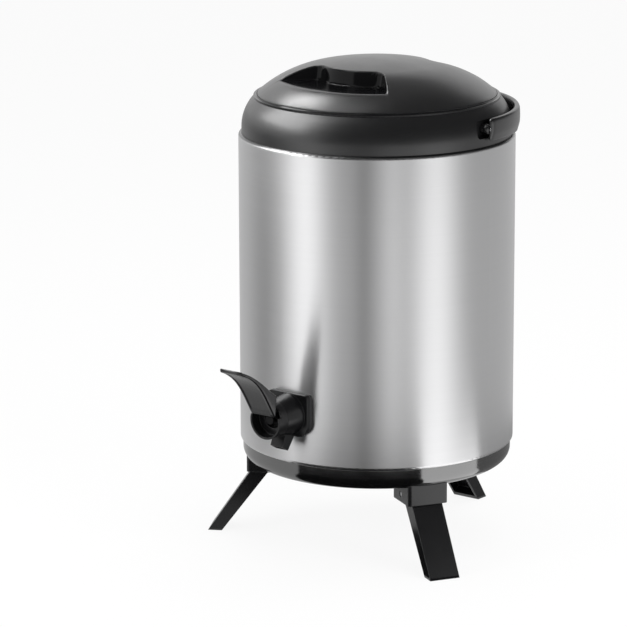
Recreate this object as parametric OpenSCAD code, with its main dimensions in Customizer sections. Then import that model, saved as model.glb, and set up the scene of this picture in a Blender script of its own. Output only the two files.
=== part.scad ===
// Insulated beverage dispenser: a double-walled steel drum on three folding legs, with a
// lift-off grip lid, a carrying bail and a lever tap. The front is -Y and up is +Z.
// The origin lies on the drum's axis at floor level.

/* [Drum] */
// Outside diameter of the steel shell
shell_d = 265; // [250:0.5:280]
// Height of the steel shell over its rolled edges
shell_h = 300.6; // [260:0.1:340]
// Thickness of the steel sheet
steel_t = 0.8; // [0.6:0.1:1.2]
// Radius of the shell's rolled edges
curl_r = 3; // [2:0.5:4]
// Width of the flat lips turned in at the shell's edges
lip_w = 5.5; // [4:0.5:7]
// Distance of the vessel's inside from the shell's outside
insulation_t = 26.5; // [25:0.5:34]
// Radius between the vessel's wall and its floor
vessel_corner_r = 12; // [8:1:12]
// Height of the vessel's floor above the shell's lower edge
floor_rise = 16; // [12:0.5:24]
// Width of the vessel's rim flange
rim_w = 6; // [4:0.5:7]

/* [Base and legs] */
// Height of the shell's lower edge above the floor
stand_h = 99.4; // [95:0.1:115]
// Height of the base cover
base_h = 20.4; // [18:0.1:26]
// Wall of the base cover
base_wall = 3; // [2:0.5:4]
// Radius of the base cover's lower edge
base_edge_r = 12; // [8:0.5:14]
// Step in from the shell to the base cover
base_inset = 2.5; // [1.5:0.5:4]
// Height of the locating walls on the base cover and the collar
spigot_h = 5; // [3:0.5:7]
// Thickness of the locating walls
spigot_t = 2.5; // [2:0.5:3.5]
// Reach of each foot beyond the base cover
foot_reach = 35.2; // [30:0.1:40]
// Distance of a leg's outer face from its pivot
leg_face = 9.25; // [8.8:0.05:9.7]
// Width of a leg at its foot
leg_foot_w = 30; // [26:0.5:31]
// Width of a leg at its bracket
leg_top_w = 31; // [29:0.5:34]
// Thickness of a leg at its foot
leg_foot_t = 10.9; // [9:0.1:13]
// Thickness of a leg at its bracket
leg_top_t = 15.2; // [13:0.1:15.2]
// Wall of a leg's moulded channel
leg_wall = 2.2; // [1.8:0.1:3]
// Distance of the leg pivots in from the base cover's edge
leg_pivot_in = 24; // [23:0.5:26]
// Depth of the leg pivots below the base cover
leg_pivot_drop = 9.2; // [8.8:0.1:10]
// Radius of a leg's knuckle
knuckle_r = 5; // [4:0.1:5.2]
// Radius of the leg pins
leg_pin_r = 2.5; // [1.5:0.1:3]
// Height of a leg bracket below the base cover
bracket_h = 16.7; // [15:0.1:20]
// Radial depth of a leg bracket
bracket_d = 38.5; // [34:0.5:42]
// Wall of a leg bracket
bracket_wall = 2.8; // [2:0.1:3.5]
// Radius of a bracket's upright corners
bracket_corner_r = 3; // [2:0.5:5]
// Shank radius of the bracket screws
screw_r = 1.9; // [1.5:0.1:2.5]
// Head radius of the bracket screws
screw_head_r = 3.6; // [3:0.1:4.2]

/* [Collar] */
// Height of the collar's upright foot
collar_rise = 5.5; // [3:0.5:9]
// Radius of the collar's rounded shoulder
collar_arc = 41.2; // [36:0.1:48]
// Distance of the lid's seam in from the collar's foot
seam_in = 14.7; // [12.5:0.1:18]
// Wall of the collar
collar_wall = 3; // [2.5:0.1:3.5]
// Depth of the seat that the lid rests on, below the seam
ledge_depth = 6; // [5:0.5:8]
// Width of the seat between the seam and the filling mouth
seat_w = 10.8; // [10:0.1:18]
// Height of the mouth's wall
neck_h = 11; // [8:0.5:13]
// Thickness of the gasket between collar and vessel
gasket_t = 2; // [1.5:0.1:3]

/* [Lid] */
// Gap round the lid's edge
seam_gap = 1; // [0.6:0.1:2]
// Radius of the lid's crown
crown_r = 347; // [300:1:400]
// Radius of the lid's shoulder
shoulder_r = 118.5; // [114:0.5:130]
// Slope at which the crown runs into the shoulder
blend_a = 9; // [7:0.5:11]
// Wall of the lid cover
lid_wall = 3; // [2:0.1:4]
// Radius of the raised grip's hub between the two finger recesses
grip_r = 53; // [45:0.5:60]
// Half the angle that each finger recess spans
recess_a = 43; // [35:0.5:50]
// Depth of the recesses' floor below the crown
recess_depth = 18.3; // [14:0.1:21]
// Height of the plug below its flange
plug_h = 26; // [20:0.5:32]
// Wall of the plug
plug_wall = 4; // [3:0.1:5]
// Thickness of the plug's flange
plug_flange_t = 2.2; // [1.5:0.1:3]
// Gap between plug and mouth, closed by the seal
plug_gap = 1.5; // [1:0.1:2]
// Height of the seal's groove
seal_h = 6; // [4:0.5:8]
// Depth of the seal's groove
seal_depth = 1.8; // [1.5:0.1:2]

/* [Carrying bail] */
// Gap between bail and collar
bail_gap = 0.8; // [0.6:0.1:3]
// Thickness of the bail
bail_t = 6.2; // [5:0.1:9]
// Height of the bail at its ends
bail_end_h = 21.4; // [16:0.1:22]
// Height of the bail's pivots above the shell
bail_pivot_rise = 16.2; // [15:0.1:18]
// Length of the bail's ends in front of the pivots
bail_end = 10.5; // [9:0.5:12]
// Radius of the bail's edges
bail_edge_r = 1.4; // [0.5:0.1:2]
// Radius of the round hubs on the bail's ends
hub_r = 7; // [5:0.1:7.5]
// Radius of the bail's pivot pins
bail_pin_r = 2.5; // [1.5:0.1:3]
// Half the height of the collar's pivot pockets
pocket_hz = 8.2; // [8:0.1:9]
// Reach of the pockets in front of the pivots
pocket_front = 14.5; // [14:0.5:20]
// Reach of the pockets behind the pivots
pocket_back = 13; // [10:0.5:16]

/* [Tap] */
// Height of the tap's axis above the shell's lower edge
tap_rise = 50.6; // [44:0.1:60]
// Width of the tap's flange
flange_w = 46; // [42:0.5:50]
// Height of the tap's flange
flange_h = 41; // [39:0.5:45]
// Corner radius of the tap's flange
flange_corner_r = 3.5; // [2:0.5:10]
// Radius of the flange's lower corners
flange_low_r = 11; // [4:0.5:14]
// Thickness of the tap's flange
flange_t = 4.5; // [4:0.1:5]
// Thickness of the flange's gasket at its middle
flange_gasket_t = 2; // [1.5:0.1:3]
// Radius of the tap's barrel at the bonnet
barrel_r = 17; // [16:0.1:17.5]
// Length of the barrel in front of the flange
barrel_len = 21; // [20:0.1:26]
// Radius of the bonnet on the barrel's front
bonnet_r = 17.6; // [17.5:0.1:19.5]
// Length of the bonnet
bonnet_len = 13.3; // [13:0.1:15]
// Wall of the bonnet's cup
bonnet_wall = 1.8; // [1.4:0.1:2.5]
// Radius of the shank through the drum's wall
shank_r = 12.5; // [11:0.1:14]
// Radius of the inlet bore
inlet_r = 9.5; // [8.5:0.1:10]
// Radius of the valve seat's bore
seat_r = 6.2; // [5:0.1:7]
// Radius of the valve stem
stem_r = 3; // [2:0.1:3.5]
// Radius of the valve seal
seal_r = 8; // [7.5:0.1:8.2]
// Thickness of the valve seal
seal_t = 5; // [3:0.1:6]
// Width of the spout
spout_w = 14.5; // [13:0.1:18]
// Depth of the spout where it leaves the barrel
spout_root = 13.5; // [12:0.1:15]
// Depth of the spout's mouth
spout_mouth = 9.6; // [9.5:0.1:11]
// Wall of the spout
spout_wall = 1.5; // [1.2:0.1:2]
// Lean of the spout from upright
spout_lean = 31; // [25:0.5:38]
// Length of the spout below the barrel
spout_len = 15.5; // [10:0.5:20]
// Height of the lever's pivot above the tap's axis
lever_pivot_rise = 12; // [11.5:0.1:12.5]
// Swing of the lever from pouring to shut
lever_swing = 35; // [25:1:36]
// Width of the lever's paddle
lever_w = 29; // [26:0.5:32]
// Radius of the lever's pin
lever_pin_r = 2; // [1.5:0.1:2.2]
// Reach of the lever's tip in front of the bonnet
lever_reach = 52; // [44:0.5:60]
// Height of the lever's tip above the tap's axis
lever_tip_rise = 59.8; // [52:0.1:66]

/* [Clearances] */
// Gap between fixed pieces with curved faces
fit_gap = 0.1; // [0.05:0.01:0.2]
// Gap between moving pieces
move_gap = 0.4; // [0.3:0.05:0.5]
// Radial gap of a pin in the bore that turns on it
pin_gap = 0.05; // [0.02:0.01:0.1]
// Radial gap of a pin in the bore that holds it
hold_gap = 0.02; // [0.01:0.01:0.05]

/* [Hidden] */
$fn = 128;

// Angles of the three legs from the front, positive towards +X
RIGHT = 60;
LEFT = -60;
REAR = 180;

// Longer than any piece, for cuts that run right through
far = 1000;

// Drum levels and radii
shell_r = shell_d / 2;
vessel_r = shell_r - insulation_t;
shell_z = stand_h;
shell_top_z = shell_z + shell_h;
lip_r = shell_r - curl_r - lip_w;
vessel_z = shell_z + floor_rise;
spigot_r = lip_r - move_gap;
staves = 12;

// Collar and lid levels
collar_r = shell_r - curl_r;
collar_c = collar_r - collar_arc;
seam_r = collar_r - seam_in;
neck_r = seam_r - seat_w;
arc_z = shell_top_z + collar_rise;
seam_z = arc_z + sqrt(pow(collar_arc, 2) - pow(seam_r - collar_c, 2));
ledge_z = seam_z - ledge_depth;
neck_z = ledge_z - neck_h;
rim_z = neck_z - gasket_t;
lid_r = seam_r - seam_gap;
cover_z = ledge_z + plug_flange_t;
blend_r = crown_r * sin(blend_a);
shoulder_c = blend_r - shoulder_r * sin(blend_a);
shoulder_z = seam_z - sqrt(pow(shoulder_r, 2) - pow(seam_r - shoulder_c, 2));
crown_c = shoulder_z + (shoulder_r - crown_r) * cos(blend_a);
apex_z = crown_c + crown_r;
recess_z = apex_z - recess_depth;
plug_r = neck_r - plug_gap;
plug_z = ledge_z - plug_h;
seal_z = ledge_z - (neck_h + seal_h) / 2;

// Bail
bail_z = shell_top_z + bail_pivot_rise;
bail_in = collar_r + bail_gap;
bail_out = bail_in + bail_t;
bail_low = shell_top_z + 0.3;
bail_top = bail_z + bail_end_h / 2;
bail_taper_start = 15;
bail_taper_end = 125;
bail_chamfer = 3;
pocket_wall = 2;
pocket_floor = spigot_r;
pocket_corner_r = 4;
bail_boss_r = bail_pin_r + 2.5;
bail_boss_l = 4;

// Base and legs
base_r = shell_r - base_inset;
base_z = shell_z - base_h;
leg_pivot_r = base_r - leg_pivot_in;
leg_pivot_z = base_z - leg_pivot_drop;
foot_r = base_r + foot_reach;
leg_span = [foot_r - leg_pivot_r, leg_pivot_z];
leg_splay = acos(leg_face / norm(leg_span)) - atan2(leg_span[1], leg_span[0]);
bracket_z = base_z - bracket_h;
leg_len = leg_pivot_z / cos(leg_splay) + leg_face;
leg_head = leg_face * tan(leg_splay) - (leg_pivot_drop - bracket_wall - move_gap) / cos(leg_splay);
bracket_inner_r = foot_r - bracket_z * tan(leg_splay) + move_gap / cos(leg_splay);
bracket_r = bracket_inner_r + bracket_wall;
bracket_slot = leg_top_w / 2 + move_gap;
cheek_t = 4.3;
bracket_half_w = bracket_slot + cheek_t;
screw_head_h = 2.2;
screw_sink = 1.6;
screw_len = 12;
screw_inset = 5;
screw_spots = [bracket_r - bracket_d + screw_inset, bracket_r - bracket_wall - screw_inset];

// Tap, measured along its axis from the drum's axis
tap_z = shell_z + tap_rise;
flange_s = shell_r + flange_gasket_t;
barrel_s = flange_s + flange_t;
bonnet_s = barrel_s + barrel_len;
front_s = bonnet_s + bonnet_len;
barrel_back_r = flange_h / 2 - 0.5;
nut_face_s = vessel_r - 4.5;
nut_t = 9;
nut_r = 18.5;
inner_gasket_r = 16;
shank_s = nut_face_s - nut_t - 2.5;
seat_s = flange_s + 3;
seat_t = 2;
chamber_s = seat_s + seat_t;
gland_t = 6;
gland_s = bonnet_s - gland_t - spigot_h;
chamber_len = gland_s - chamber_s;
port_margin = 0.8;
ring_r = 0.95;
ring_groove = 2.2;
cap_bore_r = 12;
stem_hole_r = 9;

// Lever and its grip on the stem
lever_pivot_s = front_s - 3.3;
finger_r = 1.5;
finger_s = lever_pivot_s - lever_pivot_rise * sin(lever_swing);
stem_travel = lever_pivot_rise * sin(lever_swing);
disc_r = 4.6;
disc_t = 1.5;
groove_half = finger_r + move_gap;
neck_stem_r = 1.8;
seal_front_s = seat_s - stem_travel - 0.2;
tail_r = 2;
tail_head_r = 5;
tail_head_t = 3;
ear_in = 7;
ear_t = 3;
ear_r = 4.5;
web_w = 2 * (ear_in - move_gap);
arm_in = disc_r + move_gap;
finger_in = neck_stem_r + move_gap;
hub_lever_r = 4.1;
hood_relief_r = ear_r + 1.3;
bonnet_cut_rise = 5;
bonnet_back = 4;
bonnet_ring = 9;
lever_tip_t = 3.2;
lever_tip_corner_r = 7;

echo(capacity_litres = PI * pow(vessel_r, 2) * (plug_z - vessel_z) / 1e6);
echo(stem_travel_mm = stem_travel, lever_pivot = [-lever_pivot_s, tap_z + lever_pivot_rise]);

// Half-section of a drum whose lower edge, and if asked its upper edge, is rounded
module drum2d(r, z0, z1, corner, both = false) {
    top = both ? corner : 0;
    translate([0, z0]) square([r - corner, z1 - z0]);
    translate([0, z0 + corner]) square([r, z1 - z0 - corner - top]);
    intersection() {
        translate([r - corner, z0 + corner]) circle(corner);
        square([r, z1]);
    }
    if (both) translate([r - corner, z1 - corner]) circle(corner);
}

// Rectangle with rounded corners, its low corner at the origin
module round_rect(w, h, r) {
    translate([r, 0]) square([w - 2 * r, h]);
    translate([0, r]) square([w, h - 2 * r]);
    for (x = [r, w - r], y = [r, h - r]) translate([x, y]) circle(r);
}

// Puts a shape at the tap: its Z runs forward along the tap's axis and its Y is up
module at_tap() {
    translate([0, 0, tap_z]) rotate([90, 0, 0]) children();
}

// Puts a side view of the tap, drawn as [forward, up], across the tap with width w
module tap_side(w) {
    at_tap() rotate([0, -90, 0]) linear_extrude(w, center = true) children();
}

// Puts a side view drawn as [towards the rear, up] across the whole drum
module drum_side(w) {
    rotate([90, 0, 90]) linear_extrude(w, center = true) children();
}

module tap_hole(r) {
    at_tap() cylinder(r = r, h = far);
}

// Both sides of the drum, +X first
module both_sides() {
    for (turn = [0, 180]) mirror([turn / 180, 0, 0]) children();
}

// Drum

module outer_shell() {
    color("silver") difference() {
        rotate_extrude() difference() {
            drum2d(shell_r, shell_z, shell_top_z, curl_r, true);
            drum2d(shell_r - steel_t, shell_z + steel_t, shell_top_z - steel_t, curl_r - steel_t, true);
            translate([0, shell_z - 1]) square([lip_r, shell_h + 2]);
        }
        tap_hole(shank_r + move_gap);
    }
}

module inner_vessel() {
    color("gainsboro") difference() {
        rotate_extrude() {
            difference() {
                drum2d(vessel_r + steel_t, vessel_z - steel_t, rim_z, vessel_corner_r + steel_t);
                drum2d(vessel_r, vessel_z, rim_z + 1, vessel_corner_r);
            }
            translate([vessel_r, rim_z - steel_t]) square([rim_w, steel_t]);
        }
        tap_hole(shank_r + move_gap);
    }
}

// Foam staves round the vessel and a foam disc under it, parted by narrow gaps
module foam_insulation() {
    wall = steel_t + fit_gap;
    step = 360 / staves;
    color("wheat") difference() {
        rotate_extrude() difference() {
            union() {
                drum2d(shell_r - wall, shell_z + wall, shell_top_z - wall, curl_r - steel_t, true);
                translate([0, shell_z + wall])
                    square([spigot_r - spigot_t - move_gap, rim_z - shell_z - 2 * wall]);
            }
            translate([0, vessel_z - wall]) square([vessel_r + wall, far]);
            translate([0, shell_z - 1]) square([lip_r, spigot_h + 1 + fit_gap]);
            translate([spigot_r - spigot_t - move_gap, shell_top_z - spigot_h - fit_gap])
                square([lip_r - spigot_r + spigot_t + move_gap, far]);
            translate([vessel_r, shell_z]) square([wall, floor_rise]);
        }
        for (i = [0:staves - 1]) rotate([0, 0, (i + 0.5) * step]) translate([vessel_r, -fit_gap / 2, 0])
            cube([shell_r, fit_gap, far]);
        tap_hole(shank_r + move_gap);
        both_sides() translate([0, 0, bail_z]) rotate([0, 90, 0])
            cylinder(r = bail_boss_r + move_gap, h = far);
    }
}

// Collar, lid and bail

module collar_area(inset) {
    intersection() {
        union() {
            translate([0, shell_top_z]) square([collar_r - inset, collar_rise]);
            translate([collar_c, arc_z]) circle(collar_arc - inset, $fn = 256);
        }
        translate([neck_r, shell_top_z]) square([collar_r, collar_rise + collar_arc]);
    }
}

// Outline of a pivot pocket, grown by a wall, as [towards the rear, up]
module pocket_area(grow) {
    translate([-pocket_front - grow, bail_z - pocket_hz - grow])
        round_rect(pocket_front + pocket_back + 2 * grow, 2 * (pocket_hz + grow), pocket_corner_r + grow);
}

module pocket_block(x0, grow) {
    translate([x0, 0, 0]) rotate([90, 0, 90]) linear_extrude(shell_r) pocket_area(grow);
}

module collar() {
    foot_in = spigot_r - spigot_t;
    color("#1b1c1e") difference() {
        union() {
            rotate_extrude() difference() {
                union() {
                    difference() {
                        collar_area(0);
                        collar_area(collar_wall);
                    }
                    translate([neck_r, neck_z])
                        square([seam_r + collar_wall - neck_r, ledge_depth + neck_h - 1]);
                    translate([foot_in, shell_top_z]) square([collar_r - foot_in, collar_wall]);
                    translate([foot_in, shell_top_z - spigot_h]) square([spigot_t, spigot_h + 1]);
                }
                translate([0, ledge_z]) square([seam_r, far]);
            }
            intersection() {
                both_sides() pocket_block(pocket_floor - pocket_wall, pocket_wall);
                rotate_extrude() collar_area(0);
            }
            both_sides() translate([pocket_floor - pocket_wall - bail_boss_l, 0, bail_z])
                rotate([0, 90, 0]) cylinder(r = bail_boss_r, h = bail_boss_l + pocket_wall / 2);
        }
        both_sides() pocket_block(pocket_floor, 0);
        both_sides() translate([0, 0, bail_z]) rotate([0, 90, 0])
            cylinder(r = bail_pin_r + hold_gap, h = far);
    }
}

module vessel_gasket() {
    color("#d9d9d4") rotate_extrude() translate([vessel_r + 0.5, rim_z]) square([rim_w - 1, gasket_t]);
}

// Half-section of everything under the lid's dome, shrunk by a wall
module dome_area(inset) {
    edge_r = (crown_r - inset) * sin(blend_a);
    intersection() {
        translate([0, crown_c]) circle(crown_r - inset, $fn = 720);
        translate([0, cover_z]) square([edge_r, far]);
    }
    intersection() {
        translate([shoulder_c, shoulder_z]) circle(shoulder_r - inset, $fn = 360);
        translate([edge_r, cover_z]) square([lid_r - inset - edge_r, far]);
    }
}

// Plan of a finger recess at the front, grown by a wall
module recess_area(grow) {
    difference() {
        translate([0, grow / sin(recess_a)])
            polygon([[0, 0], shell_d * [sin(recess_a), -cos(recess_a)],
                shell_d * [-sin(recess_a), -cos(recess_a)]]);
        circle(grip_r - grow);
    }
}

// Both finger recesses, front and rear, from level z upwards
module recesses(z) {
    for (turn = [0, 180]) rotate([0, 0, turn])
        translate([0, 0, z]) linear_extrude(recess_depth * 2) children();
}

module lid_cover() {
    color("#1b1c1e") difference() {
        union() {
            rotate_extrude() difference() {
                dome_area(0);
                dome_area(lid_wall);
            }
            intersection() {
                rotate_extrude() dome_area(lid_wall / 2);
                recesses(recess_z - lid_wall) recess_area(lid_wall);
            }
        }
        recesses(recess_z) recess_area(0);
    }
}

module lid_plug() {
    color("#232427") rotate_extrude() difference() {
        union() {
            translate([0, plug_z]) square([plug_r, plug_h + plug_flange_t]);
            translate([0, ledge_z]) square([lid_r - 0.5, plug_flange_t]);
        }
        translate([0, plug_z + plug_wall]) square([plug_r - plug_wall, far]);
        translate([plug_r - seal_depth, seal_z]) square([seal_depth + 1, seal_h]);
    }
}

module lid_foam() {
    color("wheat") translate([0, 0, plug_z + plug_wall + fit_gap])
        cylinder(r = plug_r - plug_wall - fit_gap, h = plug_h + plug_flange_t - plug_wall - 3 * fit_gap);
}

module lid_seal() {
    inside = plug_r - seal_depth + move_gap;
    outside = neck_r - move_gap;
    lip = 1.2;
    height = seal_h - 2 * move_gap;
    color("#d9d9d4") rotate_extrude() translate([inside, seal_z + move_gap]) {
        square([plug_r - inside, height]);
        for (z = [0, height - lip]) translate([0, z]) square([outside - inside, lip]);
    }
}

module carry_bail() {
    end_a = asin(bail_end / bail_in);
    end_low = bail_z - bail_end_h / 2;
    color("#1b1c1e") difference() {
        union() {
            difference() {
                rotate([0, 0, -end_a]) rotate_extrude(angle = 180 + 2 * end_a)
                    translate([bail_in, bail_low]) round_rect(bail_t, bail_top - bail_low, bail_edge_r);
                drum_side(far) polygon([[-shell_r, bail_low - 1], [-shell_r, end_low],
                    [bail_taper_start, end_low],
                                        [bail_taper_end, bail_low - 0.01], [bail_taper_end, bail_low - 1]]);
                for (z = [end_low, bail_top]) drum_side(far) translate([-bail_end - 1, z]) rotate(45)
                    square(bail_chamfer * sqrt(2), center = true);
            }
            both_sides() translate([pocket_floor + move_gap, 0, bail_z]) rotate([0, 90, 0])
                cylinder(r = hub_r, h = bail_in - pocket_floor + bail_t / 3);
        }
        both_sides() translate([0, 0, bail_z]) rotate([0, 90, 0])
            cylinder(r = bail_pin_r + pin_gap, h = bail_in + 2 * bail_t / 3 + move_gap);
    }
}

module bail_pin() {
    start = pocket_floor - pocket_wall - bail_boss_l;
    color("silver") translate([start, 0, bail_z]) rotate([0, 90, 0])
        cylinder(r = bail_pin_r, h = bail_in + 2 * bail_t / 3 - start);
}

// Base, legs and their brackets

module base_cover() {
    boss_r = screw_r + 2.4;
    color("#1b1c1e") difference() {
        union() {
            rotate_extrude() {
                difference() {
                    drum2d(base_r, base_z, shell_z, base_edge_r);
                    drum2d(base_r - base_wall, base_z + base_wall, shell_z + 1, base_edge_r - base_wall);
                }
                translate([spigot_r - spigot_t, base_z + base_wall / 2])
                    square([spigot_t, base_h - base_wall / 2 + spigot_h]);
            }
            at_screws() translate([0, 0, base_wall / 2]) cylinder(r = boss_r, h = screw_len);
        }
        at_screws() translate([0, 0, -1]) cylinder(r = screw_r + hold_gap, h = screw_len);
    }
}

// Every bracket screw, from the base cover's underside upwards
module at_screws() {
    for (turn = [RIGHT, LEFT, REAR], r = screw_spots)
        rotate([0, 0, turn]) translate([0, -r, base_z]) children();
}

// Leg pivot: Z points up and -Y outwards
module at_pivot(turn) {
    rotate([0, 0, turn]) translate([0, -leg_pivot_r, leg_pivot_z]) children();
}

// Leg along its own length: -Z runs down the leg and -Y points out of its face
module along_leg(turn) {
    at_pivot(turn) rotate([-leg_splay, 0, 0]) children();
}

module cross_pin(r, length) {
    rotate([0, 90, 0]) cylinder(r = r, h = length, center = true);
}

module leg_bracket(turn) {
    top_z = shell_z - base_h / 3;
    color("#1b1c1e") difference() {
        rotate([0, 0, turn]) difference() {
            translate([-bracket_half_w, -bracket_r, bracket_z]) linear_extrude(top_z - bracket_z)
                round_rect(2 * bracket_half_w, bracket_d, bracket_corner_r);
            translate([-bracket_slot, -bracket_inner_r, bracket_z - 1])
                cube([2 * bracket_slot, bracket_r, base_z - bracket_wall - bracket_z + 1]);
        }
        rotate_extrude() drum2d(base_r, base_z, far, base_edge_r);
        at_pivot(turn) cross_pin(leg_pin_r + hold_gap, far);
        rotate([0, 0, turn]) for (r = screw_spots) translate([0, -r, 0]) {
            cylinder(r = screw_r + fit_gap, h = far);
            cylinder(r = screw_head_r + fit_gap, h = base_z - bracket_wall + screw_sink);
        }
    }
}

module bracket_screws() {
    color("silver") at_screws() {
        translate([0, 0, screw_sink - bracket_wall - screw_head_h])
            cylinder(r = screw_head_r, h = screw_head_h);
        translate([0, 0, -bracket_wall - 1]) cylinder(r = screw_r, h = screw_len + bracket_wall - 1);
    }
}

module leg_pin(turn) {
    color("silver") at_pivot(turn) cross_pin(leg_pin_r, 2 * bracket_half_w - 1);
}

// Outline of a leg's face, narrowing to the foot, as [across, along]
module leg_face_area(inset, top) {
    half_top = leg_top_w / 2 - inset;
    half_foot = leg_foot_w / 2 - inset;
    polygon([[-half_top, top], [half_top, top], [half_foot, -leg_len], [-half_foot, -leg_len]]);
}

// Side view of a leg from its pivot, thinning to the foot, as [back from the pivot, along]
module leg_side_area(top) {
    back_top = leg_top_t - leg_face;
    back_foot = leg_foot_t - leg_face;
    polygon([[-leg_face, top], [back_top, top], [back_foot, -leg_len], [-leg_face, -leg_len]]);
}

module leg(turn) {
    head = -max(leg_head, 0.5);
    channel_top = head - leg_face + screw_sink / 2;
    color("#1b1c1e") difference() {
        along_leg(turn) difference() {
            union() {
                intersection() {
                    rotate([90, 0, 0]) linear_extrude(far, center = true) leg_face_area(0, head);
                    rotate([90, 0, 90]) linear_extrude(leg_top_w, center = true) leg_side_area(head);
                }
                cross_pin(knuckle_r, leg_top_w);
            }
            translate([0, far + leg_wall - leg_face, 0]) rotate([90, 0, 0]) linear_extrude(far)
                difference() {
                    leg_face_area(leg_wall, channel_top);
                    translate([-leg_top_w, -leg_len]) square([2 * leg_top_w, leg_foot_t + 2 * leg_wall]);
                }
        }
        translate([-far, -far, -far]) cube([2 * far, 2 * far, far]);
        at_pivot(turn) cross_pin(leg_pin_r + pin_gap, far);
    }
}

// Tap

// Spout outline shrunk by a wall, as [forward, up] from the middle of its root
module spout_area(inset, over) {
    root = spout_root / 2 - inset;
    mouth = spout_mouth / 2 - inset;
    polygon([[-root, barrel_r / 3], [root, barrel_r / 3], [root, 0], [mouth, -spout_len - over],
             [-mouth, -spout_len - over], [-root, 0]]);
}

module spout(inset, over) {
    middle = chamber_s + chamber_len / 2;
    tap_side(spout_w - 2 * inset) translate([middle, -barrel_r]) rotate(spout_lean) spout_area(inset, over);
}

// Face of the tap's flange, with rounder corners below, drawn in by an inset
module flange_area(inset) {
    w = flange_w - 2 * inset;
    h = flange_h - 2 * inset;
    translate([-w / 2, -h / 2]) intersection() {
        round_rect(w, h, flange_corner_r - inset);
        round_rect(w, 2 * h, flange_low_r - inset);
    }
}

module tap_body() {
    color("#1b1c1e") difference() {
        union() {
            at_tap() {
                translate([0, 0, flange_s]) linear_extrude(flange_t) flange_area(0);
                translate([0, 0, barrel_s]) cylinder(r1 = barrel_back_r, r2 = barrel_r, h = barrel_len);
                translate([0, 0, shank_s]) cylinder(r = shank_r, h = flange_s - shank_s + 1);
            }
            spout(0, 0);
        }
        at_tap() {
            translate([0, 0, shank_s - 1]) cylinder(r = inlet_r, h = seat_s - shank_s + 1);
            cylinder(r = seat_r, h = chamber_s + 1);
            translate([0, 0, chamber_s]) cylinder(r = inlet_r, h = chamber_len);
            cylinder(r = stem_r + pin_gap, h = far);
            translate([0, 0, gland_s + (gland_t - ring_groove) / 2])
                cylinder(r = stem_r + 2 * ring_r + 2 * pin_gap, h = ring_groove);
            translate([0, 0, gland_s + gland_t]) cylinder(r = cap_bore_r, h = far);
            translate([spout_wall - spout_w / 2, -barrel_r, chamber_s + port_margin])
                cube([spout_w - 2 * spout_wall, barrel_r, chamber_len - 2 * port_margin]);
        }
        spout(spout_wall, 1);
    }
}

module tap_flange_gasket() {
    inset = 0.6;
    color("#d9d9d4") difference() {
        at_tap() translate([0, 0, shell_r / 2]) linear_extrude(flange_s - shell_r / 2) flange_area(inset);
        cylinder(r = shell_r + fit_gap, h = far);
        tap_hole(shank_r + fit_gap);
    }
}

module tap_inner_gasket() {
    color("#d9d9d4") intersection() {
        at_tap() translate([0, 0, nut_face_s]) difference() {
            cylinder(r = inner_gasket_r, h = far);
            translate([0, 0, -1]) cylinder(r = shank_r + fit_gap, h = far + 2);
        }
        cylinder(r = vessel_r - fit_gap, h = far);
    }
}

module tap_nut() {
    color("#232427") at_tap() translate([0, 0, nut_face_s - nut_t]) difference() {
        cylinder(r = nut_r, h = nut_t, $fn = 6);
        translate([0, 0, -1]) cylinder(r = shank_r + fit_gap, h = nut_t + 2);
    }
}

module tap_bonnet() {
    back_s = bonnet_s + bonnet_back / 2;
    color("#1b1c1e") {
        difference() {
            union() {
                difference() {
                    at_tap() {
                        translate([0, 0, bonnet_s]) cylinder(r = bonnet_r, h = bonnet_len);
                        translate([0, 0, bonnet_s - spigot_h + fit_gap])
                            cylinder(r = cap_bore_r - fit_gap, h = spigot_h);
                    }
                    at_tap() translate([0, 0, back_s]) cylinder(r = bonnet_r - bonnet_wall, h = far);
                    tap_side(2 * ear_in) translate([bonnet_s + bonnet_back, bonnet_cut_rise]) square(far);
                    tap_side(far) translate([bonnet_s + bonnet_ring, bonnet_cut_rise]) square(far);
                }
                intersection() {
                    for (side = [-1, 1]) translate([side * (ear_in + ear_t / 2), 0, 0]) tap_side(ear_t) {
                        translate([back_s - 1, lever_pivot_rise - ear_r])
                            square([lever_pivot_s - back_s + 1, 2 * ear_r]);
                        translate([lever_pivot_s, lever_pivot_rise]) circle(ear_r);
                    }
                    at_tap() cylinder(r = bonnet_r, h = far);
                }
            }
            at_tap() cylinder(r = stem_hole_r, h = bonnet_s + bonnet_back);
            tap_side(far) translate([lever_pivot_s, lever_pivot_rise]) circle(lever_pin_r + hold_gap);
        }
    }
}

module gland_ring() {
    color("#232427") at_tap() translate([0, 0, gland_s + gland_t / 2])
        rotate_extrude() translate([stem_r + pin_gap + ring_r, 0]) circle(ring_r);
}

module valve_stem() {
    tail_s = seal_front_s - seal_t - fit_gap - tail_head_t;
    back_disc_s = finger_s - groove_half - disc_t;
    color("#e8e6df") at_tap() {
        translate([0, 0, tail_s]) cylinder(r = tail_head_r, h = tail_head_t);
        translate([0, 0, tail_s]) cylinder(r = tail_r, h = seal_front_s - tail_s + 1);
        translate([0, 0, seal_front_s + fit_gap]) cylinder(r = stem_r, h = back_disc_s - seal_front_s);
        translate([0, 0, back_disc_s]) cylinder(r = disc_r, h = disc_t);
        translate([0, 0, back_disc_s]) cylinder(r = neck_stem_r, h = 2 * groove_half + disc_t + 1);
        translate([0, 0, finger_s + groove_half]) cylinder(r = disc_r, h = disc_t);
    }
}

module valve_seal() {
    color("#d9d9d4") at_tap() translate([0, 0, seal_front_s - seal_t]) difference() {
        cylinder(r = seal_r, h = seal_t);
        translate([0, 0, -1]) cylinder(r = tail_r + fit_gap, h = seal_t + 2);
    }
}

// Point at share u of a cubic curve
function curve(p, u) =
    pow(1 - u, 3) * p[0] + 3 * pow(1 - u, 2) * u * p[1] + 3 * (1 - u) * pow(u, 2) * p[2] + pow(u, 3) * p[3];

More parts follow.
